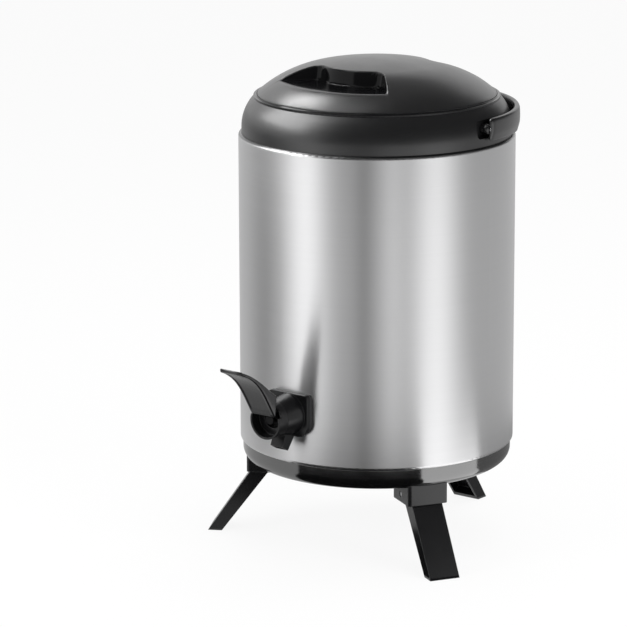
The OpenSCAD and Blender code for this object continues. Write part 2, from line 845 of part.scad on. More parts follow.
// Side view of the lever's paddle, as [forward from the bonnet, up from the tap's axis]
module paddle_area() {
    steps = 12;
    tip = [lever_reach, lever_tip_rise];
    root_low = [2.4, bonnet_cut_rise + 0.8];
    root_top = [0.3, 2.3 * lever_pivot_rise];
    low_edge = [root_low, root_low + [0.275 * tip[0], 0.371 * tip[1]],
                [0.46 * tip[0], 0.786 * tip[1]], tip - [0, lever_tip_t]];
    top_edge = [tip, [0.471 * tip[0], 0.836 * tip[1]],
                root_top + [0.202 * tip[0], 0.09 * tip[1]], root_top];
    polygon(concat(
        [for (i = [0:steps]) curve(low_edge, i / steps)],
        [for (i = [0:steps]) curve(top_edge, i / steps)],
        [[move_gap, root_low[1]]]
    ));
}

// Plan of the paddle, with its tip's corners rounded, as [across, forward]
module paddle_plan() {
    translate([-lever_w / 2, front_s - lever_reach])
        round_rect(lever_w, 2 * lever_reach, lever_tip_corner_r);
}

// Puts a side view on both arms of the lever's fork, from a distance beside the stem's axis outwards
module across_fork(inside) {
    width = web_w / 2 - inside;
    for (side = [-1, 1]) translate([side * (inside + width / 2), 0, 0]) tap_side(width) children();
}

module tap_lever() {
    pivot = [lever_pivot_s, lever_pivot_rise];
    arm = lever_pivot_rise;
    color("#1b1c1e") difference() {
        union() {
            difference() {
                intersection() {
                    tap_side(lever_w) translate([front_s, 0]) paddle_area();
                    translate([0, 0, tap_z]) linear_extrude(far) mirror([0, 1, 0]) paddle_plan();
                }
                tap_side(far) translate(pivot) circle(hood_relief_r);
            }
            tap_side(web_w) {
                translate(pivot) circle(hub_lever_r);
                polygon([pivot + [0, -3], pivot + [7, -4], pivot + [8, 10],
                    pivot + [4, 13], pivot + [-3, 2]]);
            }
            across_fork(arm_in) translate(pivot) rotate(-lever_swing) {
                translate([-finger_r, -arm]) square([2 * finger_r, arm]);
                translate([0, -arm]) circle(finger_r);
            }
            across_fork(finger_in) translate(pivot) rotate(-lever_swing)
                translate([0, -arm]) circle(finger_r);
        }
        tap_side(far) translate(pivot) circle(lever_pin_r + pin_gap);
    }
}

module lever_pin() {
    color("silver") tap_side(2 * (ear_in + ear_t) - 0.4)
        translate([lever_pivot_s, lever_pivot_rise]) circle(lever_pin_r);
}

outer_shell();
inner_vessel();
foam_insulation();
collar();
vessel_gasket();
base_cover();
leg_bracket(RIGHT);  // leg_bracket_right
leg_bracket(LEFT);  // leg_bracket_left
leg_bracket(REAR);  // leg_bracket_rear
bracket_screws();
leg_pin(RIGHT);  // leg_pin_right
leg_pin(LEFT);  // leg_pin_left
leg_pin(REAR);  // leg_pin_rear
leg(RIGHT);  // leg_right
leg(LEFT);  // leg_left
leg(REAR);  // leg_rear
lid_cover();
lid_plug();
lid_foam();
lid_seal();
carry_bail();
bail_pin();  // bail_pin_right
mirror([1, 0, 0]) bail_pin();  // bail_pin_left
tap_body();
tap_flange_gasket();
tap_inner_gasket();
tap_nut();
tap_bonnet();
gland_ring();
valve_stem();
valve_seal();
tap_lever();
lever_pin();
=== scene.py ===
"""Looks of an insulated beverage dispenser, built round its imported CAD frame.

The lid's cover, the carrying bail and the tap's lever are surfaces worked out here; every other
node keeps its CAD shape and gets a procedural finish. Lengths are in metres, the front is -Y and
up is +Z. Turns from the camera are in degrees, with its right as positive.
"""

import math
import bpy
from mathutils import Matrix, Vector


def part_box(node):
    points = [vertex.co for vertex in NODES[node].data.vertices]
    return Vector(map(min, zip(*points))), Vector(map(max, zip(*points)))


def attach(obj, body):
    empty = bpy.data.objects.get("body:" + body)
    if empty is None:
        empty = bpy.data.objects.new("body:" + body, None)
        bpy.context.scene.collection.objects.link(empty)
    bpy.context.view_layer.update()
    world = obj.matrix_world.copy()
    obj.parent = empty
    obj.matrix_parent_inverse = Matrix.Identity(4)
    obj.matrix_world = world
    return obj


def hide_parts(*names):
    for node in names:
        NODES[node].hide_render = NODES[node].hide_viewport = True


bl_info = {
    "name": "Insulated beverage dispenser",
    "version": (1, 0, 0),
    "blender": (4, 5, 0),
    "location": "View3D > Sidebar > Dispenser",
    "description": "Builds the lid, the bail, the lever and the finishes of the dispenser",
    "category": "Object",
}

import bmesh
import bpy
import numpy as np
from mathutils import Matrix

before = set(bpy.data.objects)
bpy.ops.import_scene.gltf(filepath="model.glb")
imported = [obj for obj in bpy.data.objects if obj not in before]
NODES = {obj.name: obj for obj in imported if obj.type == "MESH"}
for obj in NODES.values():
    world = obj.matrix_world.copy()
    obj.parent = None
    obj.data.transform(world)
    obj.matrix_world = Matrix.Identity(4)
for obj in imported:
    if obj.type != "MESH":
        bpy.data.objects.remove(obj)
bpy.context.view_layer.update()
SIDES = ("right", "left", "rear")
PIN_STEEL = (0.56, 0.56, 0.57)
SCREW_STEEL = (0.55, 0.55, 0.56)

# Camera: picture width and focal length in pixels, sensor in millimetres, distance from the axis,
# height and turns
PIXELS = 627
FOCAL_PIXELS = 3510.45
SENSOR = 36.0
CAMERA_REACH, CAMERA_HEIGHT = 3.3024, 1.0172
CAMERA_PITCH, CAMERA_YAW, CAMERA_ROLL = (math.radians(turn) for turn in (13.563, -1.061, -0.181))

# Lamps: name, turn from the camera, distance from the axis, height, width and power in watts,
# and the height on the axis that they look at
LAMPS = (
    ("right_lamp", 47.0, 1.7, 0.9, 0.9, 14.0),
    ("left_lamp", -61.0, 1.7, 0.9, 0.7, 9.0),
    ("top_lamp", 150.0, 0.5, 2.0, 1.4, 16.0),
)
LAMP_AIM = 0.24

# Wall of light: level, height, radius and apron, and its soft boxes as middle turn, width and gain
COVE_LEVEL, COVE_HEIGHT, COVE_RADIUS, COVE_APRON = 0.62, 0.44, 0.62, 0.25
COVE_BOXES = (
    (-54.0, 17.0, 0.93),
    (-95.0, 20.0, -0.30),
    (-9.4, 6.0, -0.22),
    (11.0, 9.0, 0.40),
    (45.0, 18.5, 0.93),
)

# Low cards round the base: name, level, first and last turn from the camera, and apron, and the
# height of their feet and of the wall of light's foot above the floor
CARD_RADIUS, CARD_HEIGHT = 0.35, 0.04
CARDS = (
    ("low_left", 0.7, -180.0, -58.0, 0.32),
    ("low_black", 0.01, -58.0, 31.5, 0.32),
    ("low_white", 1.8, 31.5, 80.0, 0.2),
    ("low_grey", 0.3, 80.0, 180.0, 0.2),
)
FLOOR_GAP = 0.002

# Parts of a dome overhead: name, level, two turns from the camera, two heights in degrees, radius,
# and a piece that it spares, and the height of the dome's centre
CANOPY_MIDDLE = 0.3
CANOPIES = (
    ("ceiling", 0.08, -48.0, 140.0, 5.0, 88.0, 1.6, None),
    ("back_ceiling", 0.18, 140.0, 240.0, 42.0, 88.0, 1.6, None),
    ("left_top_softbox", 6.8, -118.0, -66.0, 22.0, 56.0, 1.3, "lid_dome"),
    ("left_high_softbox", 11.5, -134.0, -110.0, 43.0, 64.0, 1.3, None),
)


class Value:
    """A shader socket that takes Python's operators; each of them adds one Math node."""

    def __init__(self, paint, socket):
        self.paint = paint
        self.socket = socket

    def __add__(self, other):
        return self.paint.math("ADD", self, other)

    def __radd__(self, other):
        return self.paint.math("ADD", other, self)

    def __sub__(self, other):
        return self.paint.math("SUBTRACT", self, other)

    def __rsub__(self, other):
        return self.paint.math("SUBTRACT", other, self)

    def __mul__(self, other):
        return self.paint.math("MULTIPLY", self, other)

    def __rmul__(self, other):
        return self.paint.math("MULTIPLY", other, self)

    def clamped(self):
        """The value held between 0 and 1."""
        return self.paint.node("ShaderNodeClamp", None, {"Value": self})


class Paint:
    """A node tree that is written as expressions."""

    def __init__(self, tree):
        self.tree = tree
        tree.nodes.clear()

    def node(self, kind, settings=None, sockets=None, out=0):
        """Adds a node, sets its settings and then its sockets, and gives one of its outputs."""
        node = self.tree.nodes.new(kind)
        for key, value in (settings or {}).items():
            setattr(node, key, value)
        for key, value in (sockets or {}).items():
            if isinstance(value, Value):
                self.tree.links.new(value.socket, node.inputs[key])
            else:
                node.inputs[key].default_value = value
        return Value(self, node.outputs[out]) if len(node.outputs) else None

    def math(self, operation, first, second):
        """One Math node on two values."""
        return self.node("ShaderNodeMath", {"operation": operation}, {0: first, 1: second})

    def blend(self, share, first, second):
        """Colour that goes from first to second as share goes from 0 to 1."""
        first, second = (c if isinstance(c, Value) else (*c, 1.0) for c in (first, second))
        settings = {"data_type": "RGBA"}
        return self.node("ShaderNodeMix", settings, {0: share, 6: first, 7: second}, out=2)

    def place(self, scale=(1, 1, 1)):
        """Object coordinates, stretched by a scale for each axis."""
        spot = self.node("ShaderNodeTexCoord", out="Object")
        return self.node("ShaderNodeMapping", None, {"Vector": spot, "Scale": scale})

    def noise(self, scale, detail=2.0, stretch=(1, 1, 1), roughness=0.5):
        """Smooth noise about 0.5, with a feature size of 1 / scale metres."""
        sockets = {"Vector": self.place(stretch), "Scale": scale, "Detail": detail,
                   "Roughness": roughness}
        return self.node("ShaderNodeTexNoise", None, sockets, out="Fac")

    def off_axis(self):
        """Distance from the drum's axis."""
        spot = self.place((1.0, 1.0, 0.0))
        return self.node("ShaderNodeVectorMath", {"operation": "LENGTH"}, {0: spot}, out="Value")

    def height(self):
        """Height above the floor."""
        return self.node("ShaderNodeSeparateXYZ", None, {"Vector": self.place()}, out="Z")

    def rounded(self, radius):
        """Normal that rounds every edge by a radius, and how far it turns from the face's own."""
        edge_gain = 5.0
        soft = self.node("ShaderNodeBevel", {"samples": 6}, {"Radius": radius})
        flat = self.node("ShaderNodeNewGeometry", out="Normal")
        both = {0: soft, 1: flat}
        agree = self.node("ShaderNodeVectorMath", {"operation": "DOT_PRODUCT"}, both, out="Value")
        return soft, ((1.0 - agree) * edge_gain).clamped()

    def shader(self, **sockets):
        """A Principled shader; underscores in the names stand for spaces."""
        named = {key.replace("_", " "): value for key, value in sockets.items()}
        return self.node("ShaderNodeBsdfPrincipled", None, named)

    def mark(self, name):
        """A value that the mesh holds at its points."""
        return self.node("ShaderNodeAttribute", {"attribute_name": name}, out="Fac")

    def end(self, shader):
        """Ends the tree in a shader."""
        self.node("ShaderNodeOutputMaterial", None, {"Surface": shader})

    def surface(self, **sockets):
        """Ends the tree in a Principled shader."""
        self.end(self.shader(**sockets))


def material(name):
    """A new material and the paint of its node tree."""
    made = bpy.data.materials.new(name)
    made.use_nodes = True
    return made, Paint(made.node_tree)


def wear(finish, *names):
    """Gives CAD nodes a finish."""
    for name in names:
        slots = NODES[name].data.materials
        slots.clear()
        slots.append(finish)


def tint(colour, factor):
    """A colour times a factor, held below white."""
    return tuple(min(factor * c, 1.0) for c in colour)


def brushed_steel(name, colour, roughness, streak, turned, rim=None):
    """Steel sheet brushed round the drum: streaks that vary fast upwards and slowly round it.

    A turned sheet has stronger streaks in its gloss. Above the height rim its colour is darkened:
    painted shade on the rolled edge under the collar, which also dims that edge's reflections.
    """
    streak_gloss, cloud_gloss, edge_gloss, rim_shade_fade, rim_painted_shade = 0.10, 0.03, 0.04, 800.0, 0.2
    made, paint = material(name)
    fine = paint.noise(1.0, 3.0, (7.0, 7.0, 2600.0), 0.6)
    broad = paint.noise(1.0, 2.0, (3.0, 3.0, 240.0))
    cloud = paint.noise(9.0, 3.0)
    shade = fine * 0.6 + broad * 0.4
    soft, edge = paint.rounded(0.0006)
    bump = {"Strength": 0.02 * streak, "Distance": 0.0002, "Height": shade, "Normal": soft}
    sheet_colour = paint.blend(shade, tint(colour, 0.95), tint(colour, 1.05))
    if rim:
        # Painted shade: the steel darkens above the height rim, on the rolled edge under the
        # collar.
        rim_shade_share = ((paint.height() - rim) * rim_shade_fade).clamped()
        sheet_colour = paint.blend(rim_shade_share, sheet_colour, tint(colour, rim_painted_shade))
    paint.surface(
        Base_Color=sheet_colour, Metallic=1.0,
        Roughness=(roughness + (shade - 0.5) * (streak_gloss * streak)
                   + (cloud - 0.5) * cloud_gloss - edge * edge_gloss),
        Anisotropic=0.8 if turned else 0.3, Anisotropic_Rotation=0.25 if turned else 0.0,
        Normal=paint.node("ShaderNodeBump", None, bump))
    return made


def moulded(name, colour, roughness, grain, depth, edge_radius, wear_and_highlight=0.02, ior=1.5, sunk=False,
            seam=None):
    """Moulded plastic: a fine grain, smudges in its gloss, and edges paled by wear and a painted
    highlight.

    The grain has a feature size of 1 / grain metres and a depth, and the wear and highlight amount
    is added to edges' colour: partly rubbed wear, partly painted highlight.
    A glossier finish with painted shade, darker in colour and in its reflections, is mixed in by
    the points' own value "sunk", or inside the radius seam.
    """
    marks_gloss, speck_gloss, seam_fade = 0.10, 0.05, 2500.0
    smooth_roughness, smooth_gloss, shaded_ior = 0.12, 0.06, 1.25
    made, paint = material(name)
    speck = paint.noise(grain, 2.0)
    marks = paint.noise(38.0, 4.0, roughness=0.62)
    cloud = paint.noise(7.0, 2.0)
    soft, edge = paint.rounded(edge_radius)
    low = tint(colour, 0.8)
    # Edges blend towards a paler colour: partly rubbed wear, partly painted highlight.
    worn_and_highlit = tuple(c + wear_and_highlight for c in colour)
    body = paint.blend((speck * 0.4 + cloud * 0.6).clamped(), low, tint(colour, 1.25))
    bump = {"Strength": 1.0, "Distance": depth, "Height": speck, "Normal": soft}
    shader = paint.shader(
        Base_Color=paint.blend(edge * (0.25 + marks * 0.5), body, worn_and_highlit), IOR=ior,
        Roughness=roughness + (marks - 0.5) * marks_gloss + (speck - 0.5) * speck_gloss,
        Normal=paint.node("ShaderNodeBump", None, bump))
    # Painted shade: recesses and the seam get a darker mix with dim reflections, partly real gloss.
    if sunk or seam:
        share = paint.mark("sunk") if sunk else ((seam - paint.off_axis()) * seam_fade).clamped()
        glossy_shaded = paint.shader(Base_Color=paint.blend(cloud, low, body), IOR=shaded_ior, Normal=soft,
                              Roughness=smooth_roughness + (marks - 0.5) * smooth_gloss)
        shader = paint.node("ShaderNodeMixShader", None, {0: share, 1: shader, 2: glossy_shaded})
    paint.end(shader)
    return made


def rubber(name, colour, roughness):
    """Silicone or rubber: soft sheen, fine dust and a faint moulding grain."""
    made, paint = material(name)
    dust = paint.noise(420.0, 3.0)
    cloud = paint.noise(30.0, 2.0)
    soft, edge = paint.rounded(0.0004)
    # Edges come out a little paler: a painted highlight.
    shade = (dust * 0.5 + cloud * 0.5 + edge * 0.1).clamped()
    bump = {"Strength": 0.6, "Distance": 0.00003, "Height": dust, "Normal": soft}
    paint.surface(
        Base_Color=paint.blend(shade, tint(colour, 0.86), tint(colour, 1.08)),
        Roughness=roughness + (dust - 0.5) * 0.2,
        Normal=paint.node("ShaderNodeBump", None, bump))
    return made


def foamed(name, colour):
    """Rigid foam: open cells and a slight yellowing."""
    made, paint = material(name)
    spots = {"Vector": paint.place(), "Scale": 700.0}
    cells = paint.node("ShaderNodeTexVoronoi", None, spots, out="Distance")
    cloud = paint.noise(22.0, 3.0)
    shade = (cells * 0.6 + cloud * 0.4).clamped()
    bump = {"Strength": 0.8, "Distance": 0.0004, "Height": cells}
    paint.surface(
        Base_Color=paint.blend(shade, tint(colour, 0.78), colour),
        Roughness=0.85 + (cloud - 0.5) * 0.1,
        Normal=paint.node("ShaderNodeBump", None, bump))
    return made


def sheet(name, *grids):
    """Smooth mesh of grids of points [rows, columns, 3].

    Each grid comes with wrap, which joins its last column to its first. Faces point to the
    side from which columns run to the right while rows run up, and a row that shrinks to a point
    closes into a pole.
    """
    points, quads, count = [], [], 0
    for grid, wrap in grids:
        rows, columns = grid.shape[:2]
        index = count + np.arange(rows * columns).reshape(rows, columns)
        if wrap:
            index = np.concatenate([index, index[:, :1]], axis=1)
        corners = [index[:-1, :-1], index[:-1, 1:], index[1:, 1:], index[1:, :-1]]
        quads.append(np.stack(corners, axis=-1).reshape(-1, 4))
        points.append(grid.reshape(-1, 3))
        count += rows * columns
    mesh = bpy.data.meshes.new(name)
    mesh.from_pydata(np.concatenate(points).tolist(), [], np.concatenate(quads).tolist())
    work = bmesh.new()
    work.from_mesh(mesh)
    bmesh.ops.remove_doubles(work, verts=work.verts, dist=1e-6)
    work.to_mesh(mesh)
    work.free()
    mesh.shade_smooth()
    made = bpy.data.objects.new(name, mesh)
    bpy.context.scene.collection.objects.link(made)
    return made


def face_out(made):
    """Turns the faces of closed pieces outwards."""
    work = bmesh.new()
    work.from_mesh(made.data)
    bmesh.ops.recalc_face_normals(work, faces=work.faces)
    work.to_mesh(made.data)
    work.free()


def points_of(made):
    """The points of an object's mesh as an array."""
    spots = np.empty(3 * len(made.data.vertices), dtype=np.float32)
    made.data.vertices.foreach_get("co", spots)
    return spots.reshape(-1, 3)


def keep_value(made, name, values):
    """Stores one value for each point of an object's mesh."""
    spread = np.broadcast_to(values, len(made.data.vertices)).astype(np.float32)
    made.data.attributes.new(name, "FLOAT", "POINT").data.foreach_set("value", spread)


def smooth_step(value):
    """0 below 0, 1 above 1 and 3v² - 2v³ between them."""
    value = np.clip(value, 0.0, 1.0)
    return value * value * (3.0 - 2.0 * value)


def runs(*parts):
    """Rising values in parts of (from, to, how many), each without its end."""
    steps = [np.linspace(low, high, count, endpoint=False) for low, high, count in parts]
    return np.concatenate(steps)


def lid_height(radius, apex, crown, shoulder, blend):
    """Height of the lid's dome: a crown arc about the axis that runs into a tighter shoulder arc.

    Crown: z = c + sqrt(crown² - r²) with c = apex - crown. From r = crown sin(blend) on, the arc
    has the radius shoulder and its centre on the crown's own radius, so that the two share a
    tangent.
    """
    middle = apex - crown
    shift = crown - shoulder
    near = middle + np.sqrt(crown ** 2 - np.minimum(radius, crown) ** 2)
    side = np.clip(radius - shift * math.sin(blend), 0.0, shoulder)
    far = middle + shift * math.cos(blend) + np.sqrt(shoulder ** 2 - side ** 2)
    return np.where(radius < crown * math.sin(blend), near, far)


def lid_grid(size):
    """The lid's outside as z(r, turn): the dome, less two finger recesses, and a short upright rim.

    A recess is where d > 0, with d the rounded minimum of r - grip and r sin(reach - turn), the
    distances inside its arc and its radial wall. Its share of the drop to the floor is a smooth
    step of d over the wall's width, and the drop fades out where the dome passes below the floor.
    """
    low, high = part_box("lid_cover")
    seam_ease, corner, fade, wall_start, wall_width = 0.0005, 0.012, 0.0012, 0.0010, 0.0030
    lip, lip_edge, lip_drop = 0.0004, 0.0001, 0.002
    rim, foot, apex = high[0] + seam_ease, low[2], high[2]
    floor = apex - size.recess_depth
    grip, reach = size.grip_radius, size.recess_reach
    bend = runs((0.0, 0.045, 8), (0.045, 0.0505, 5), (0.0505, 0.062, 27), (0.062, 0.088, 18),
                (0.088, 0.097, 12), (0.097, rim - lip, 14))
    radius = np.append(bend, [rim - lip, rim - lip_edge, rim, rim, rim])
    drop = np.append(np.zeros(len(bend)), [0.0, lip_edge, lip, lip_drop, 0.0])
    quarter = runs((0.0, 37.0, 18), (37.0, 45.0, 36), (45.0, 90.0, 21))
    half = np.append(quarter, 180.0 - np.append(quarter[1:], 90.0)[::-1])
    turn = np.radians(np.append(half, half + 180.0))
    r, t = np.meshgrid(radius, turn, indexing="ij")
    z = lid_height(r, apex, size.crown, size.shoulder, size.blend)
    off_axis = np.abs((t + math.pi / 2) % math.pi - math.pi / 2)
    arc, wall = r - grip, r * np.sin(reach - off_axis)
    mix = np.clip(0.5 + 0.5 * (wall - arc) / corner, 0.0, 1.0)
    inside = wall * (1.0 - mix) + arc * mix - corner * mix * (1.0 - mix)
    over = z - floor
    depth = 0.5 * (over + np.sqrt(over ** 2 + fade ** 2))
    z = z - smooth_step((inside + wall_start) / wall_width) * depth - drop[:, None]
    z[-1] = foot
    return np.stack([r * np.sin(t), -r * np.cos(t), z], axis=-1)[:, ::-1]


def bezier(points, u):
    """Cubic curve with four control points, weighted (1 - u)³, 3u(1 - u)², 3u²(1 - u) and u³."""
    weights = np.stack([(1 - u) ** 3, 3 * u * (1 - u) ** 2, 3 * u ** 2 * (1 - u), u ** 3], axis=-1)
    return weights @ np.array(points)


def paddle_grid(front, axis, size):
    """The lever's paddle: rounded rectangles between two curves that run from root to tip.

    In the side view, forward and up from the mouth's front on the tap's axis, the section at u
    joins low(u) to top(u). Across, it is the lever's width, which narrows over a corner radius at
    the tip. The front side is sunk by a shallow panel that leaves a rim. Both ends close to a pole
    in a few sections, which push moves along the paddle and shrink draws in.
    """
    tip = np.array([size.lever_reach, size.lever_rise])
    root_low, root_top = np.array([0.0024, 0.0058]), np.array([0.0004, 0.0276])
    tip_thickness, tip_corner, edge_radius = 0.0032, 0.007, 0.0016
    panel_rim, panel_slope, panel_depth = 0.0023, 0.0013, 0.0007
    panel_from, panel_fall, panel_to, panel_climb, edge_share = 0.06, 0.04, 0.90, 0.05, 0.42
    u = np.concatenate([np.zeros(3), np.linspace(0.0, 1.0, 48), np.ones(2)])
    low = bezier([root_low, root_low + tip * [0.275, 0.371], tip * [0.46, 0.786],
                  tip - [0.0, tip_thickness]], u)
    top = bezier([root_top, root_top + tip * [0.202, 0.09], tip * [0.471, 0.836], tip], u)
    across = top - low
    thick = np.linalg.norm(across, axis=-1)
    across /= thick[:, None]
    ahead = np.stack([across[:, 1], -across[:, 0]], axis=-1)
    push = np.zeros(len(u))
    push[:2] = 0.0024, 0.0021
    push[-4:] = -0.0012, -0.0008, -0.0001, 0.0
    middle = (low + top) / 2 + push[:, None] * ahead
    past = np.clip((middle[:, 0] - (tip[0] - tip_corner)) / tip_corner, 0.0, 1.0)
    wide = size.lever_width / 2 - tip_corner + tip_corner * np.sqrt(1.0 - past ** 2)
    shrink = np.ones(len(u))
    shrink[:3] = 0.0, 0.84, 0.96
    shrink[-2:] = 0.66, 0.0
    edge = np.minimum(edge_radius, edge_share * thick)[:, None]
    half_thick = thick[:, None] / 2
    corner = np.linspace(0.0, math.pi / 2, 6)
    flat = np.array([0.955, 0.915, 0.885, 0.855, 0.815, 0.6, 0.3, 0.0])
    flat = np.concatenate([flat, -flat[-2::-1]])
    one, line = np.ones(6), np.ones(len(flat))
    side = np.concatenate([one, flat, -one, -one, -flat, one])
    rise = np.concatenate([one, line, one, -one, -line, -one])
    round_ = np.concatenate([corner, line * math.pi / 2, math.pi / 2 + corner,
                             math.pi + corner, line * math.pi * 1.5, math.pi * 1.5 + corner])
    w = (wide[:, None] - edge) * side + edge * np.cos(round_)
    v = (half_thick - edge) * rise + edge * np.sin(round_)
    along = smooth_step((u - panel_from) / panel_fall) * smooth_step((panel_to - u) / panel_climb)
    panel = smooth_step((wide[:, None] - panel_rim - np.abs(w)) / panel_slope) * along[:, None]
    v = v + np.where(rise < 0.0, panel_depth, 0.0) * panel
    w, v = w * shrink[:, None], v * shrink[:, None]
    forward = front + middle[:, :1] + across[:, :1] * v
    up = axis + middle[:, 1:] + across[:, 1:] * v
    return np.stack([w, -forward, up], axis=-1)


def plate_grid(outline, pivot, low, high, edge=0.0005):
    """A plate from low to high across the front: a side view's outline round the pivot.

    It is closed at its middle. Its rows are the middle, the outline drawn in by the edge, the full
    outline twice, and back.
    """
    middle = outline.mean(axis=0)
    spread = outline - middle
    inset = 1.0 - edge / np.linalg.norm(spread, axis=-1).mean()
    scale = np.array([0.0, inset, 1.0, 1.0, inset, 0.0])
    place = np.array([low, low, low + edge, high - edge, high, high])
    flat = pivot + middle + scale[:, None, None] * spread
    across = np.broadcast_to(place[:, None], flat.shape[:2])
    return np.stack([across, -flat[..., 0], flat[..., 1]], axis=-1)


def hub_outline(corners, radius, turn):
    """Outline round the pivot: at each turn the farther of a circle and a convex polygon.

    The polygon's distance is the least over its edges of (normal . corner) / (normal . ray).
    """
    step = np.roll(corners, -1, axis=0) - corners
    outward = np.stack([step[:, 1], -step[:, 0]], axis=-1)
    ray = np.stack([np.cos(turn), np.sin(turn)], axis=-1)
    facing = ray @ outward.T
    away = (outward * corners).sum(axis=-1) / np.maximum(facing, 1e-9)
    reach = np.where(facing > 1e-9, away, 1.0)
    return np.maximum(reach.min(axis=-1), radius)[:, None] * ray


def arm_outline(length, radius, lean, turn):
    """Outline of an arm that hangs from the pivot with a lean: two half circles and its sides."""
    end = np.where(np.sin(turn) < 0.0, -length, 0.0)
    x, y = radius * np.cos(turn), radius * np.sin(turn) + end
    forward = x * math.cos(lean) - y * math.sin(lean)
    up = x * math.sin(lean) + y * math.cos(lean)
    return np.stack([forward, up], axis=-1)


def bail_grid(size):
    """The bail's strap: a rounded section swept round the back, from one end to the other.

    The section is x = t |cos b|^p, z = h |sin b|^p with the signs of cos b and sin b, and p the
    power. Its low side runs down towards the back, its outside draws in towards the foot, and at
    both ends it closes as sqrt(1 - (1 - e / blunt)²) with e the distance from the end.
    """
    low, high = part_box("carry_bail")
    top = high[2]
    middle = high[0] - size.bail_thickness / 2
    start = -math.asin(size.bail_ahead / middle)
    stop, step, power, drawn_in = math.pi - start, 0.036, 2.0 / 3.6, 0.55
    deep_from, deep_over, draw_from, draw_over = 0.015, 0.11, 0.1, 0.9
    near = size.bail_blunt * np.array([0.0, 0.03, 0.1, 0.22, 0.4, 0.65]) / middle
    between = np.linspace(start + step, stop - step, 150)
    turn = np.concatenate([start + near, between, (stop - near)[::-1]])
    off_end = np.minimum(turn - start, stop - turn) * middle / size.bail_blunt
    close = np.sqrt(np.clip(1.0 - (1.0 - np.minimum(off_end, 1.0)) ** 2, 0.0, 1.0))[:, None]
    deep = smooth_step((middle * np.sin(turn) - deep_from) / deep_over)[:, None]
    foot = top - size.bail_height - deep * (top - size.bail_height - low[2])
    round_ = np.linspace(0.0, 2 * math.pi, 56, endpoint=False)
    x = np.sign(np.cos(round_)) * np.abs(np.cos(round_)) ** power
    z = np.sign(np.sin(round_)) * np.abs(np.sin(round_)) ** power
    half = size.bail_thickness / 2
    tall = (top - foot) / 2 - half * (1.0 - close)
    draw = drawn_in * smooth_step((-z - draw_from) / draw_over) * np.maximum(x, 0.0)
    reach = middle + half * close * (x - draw)
    height = (top + foot) / 2 + tall * z
    return np.stack([reach * np.cos(turn)[:, None], reach * np.sin(turn)[:, None], height], axis=-1)


def upright(name, turn, radius, apron, high, wrap):
    """Upright wall along turns round the object, with an apron from its foot towards the object."""
    reach = np.array([radius - apron, radius, radius])[:, None]
    height = np.broadcast_to(np.array([FLOOR_GAP, FLOOR_GAP, high])[:, None], (3, len(turn)))
    points = np.stack([reach * np.sin(turn), -reach * np.cos(turn), height], axis=-1)
    return sheet(name, (points, wrap))


def card(name, level, turn_from, turn_to, apron):
    """Low curved card round the base that only mirrors see, between two turns from the camera."""
    turn = bpy.context.scene.dispenser.azimuth + np.radians(np.linspace(turn_from, turn_to, 24))
    glow(upright(name, turn, CARD_RADIUS, apron, CARD_HEIGHT, False), level)


def canopy(name, level, turn_from, turn_to, rise_from, rise_to, radius, spared):
    """Part of a sphere overhead that only mirrors see, between two turns and two heights.

    It doesn't shine on the piece named as spared, as a flagged lamp doesn't.
    """
    turn = bpy.context.scene.dispenser.azimuth + np.radians(np.linspace(turn_from, turn_to, 20))
    rise = np.radians(np.linspace(rise_from, rise_to, 12))[:, None]
    flat = radius * np.cos(rise)
    height = CANOPY_MIDDLE + np.broadcast_to(radius * np.sin(rise), (len(rise), len(turn)))
    points = np.stack([flat * np.sin(turn), -flat * np.cos(turn), height], axis=-1)
    made = sheet(name, (points, False))
    glow(made, level)
    if spared:
        flagged = bpy.data.collections.new(name + "_flagged")
        flagged.objects.link(bpy.data.objects[spared])
        flagged.collection_objects[0].light_linking.link_state = "EXCLUDE"
        made.light_linking.receiver_collection = flagged


def cove(name):
    """Wall of light all round the object, which only mirrors see.

    Its level at a turn is the cove's own + sum of gain exp(-((turn - middle) / width)²), one soft
    box for each (middle, width, gain) in degrees from the camera.
    """
    look = bpy.context.scene.dispenser.azimuth
    turn = np.linspace(-math.pi, math.pi, 181)[:-1] + look
    made = upright(name, turn, COVE_RADIUS, COVE_APRON, COVE_HEIGHT, True)
    spots = points_of(made)
    seen = np.degrees(np.arctan2(spots[:, 0], -spots[:, 1]) - look)
    seen = (seen + 180.0) % 360.0 - 180.0
    glow(made, COVE_LEVEL + sum(gain * np.exp(-((seen - middle) / width) ** 2)
                                for middle, width, gain in COVE_BOXES))


def glow(made, level):
    """Lets a stage piece shine in mirrors alone, with a level for each of its points."""
    keep_value(made, "level", level)
    shining, paint = material(made.name)
    shine = paint.node("ShaderNodeEmission", None, {"Color": paint.mark("level"), "Strength": 1.0})
    paint.end(shine)
    made.data.materials.append(shining)
    made.visible_camera = False
    made.visible_diffuse = False
    made.visible_shadow = False


def lamp(name, turn, reach, height, size, power):
    """Soft square lamp that looks at the middle of the drum; its angle is from the camera."""
    look = bpy.context.scene.dispenser.azimuth + math.radians(turn)
    light = bpy.data.lights.new(name, "AREA")
    light.size = size
    light.energy = power
    made = bpy.data.objects.new(name, light)
    bpy.context.scene.collection.objects.link(made)
    spot = np.array([reach * math.sin(look), -reach * math.cos(look), height])
    back = spot - np.array([0.0, 0.0, LAMP_AIM])
    back /= np.linalg.norm(back)
    side = np.cross([0.0, 0.0, 1.0], back)
    side /= np.linalg.norm(side)
    up = np.cross(back, side)
    turned = np.eye(4)
    turned[:3, 0], turned[:3, 1], turned[:3, 2], turned[:3, 3] = side, up, back, spot
    made.matrix_world = Matrix(turned.tolist())
    made.visible_glossy = False


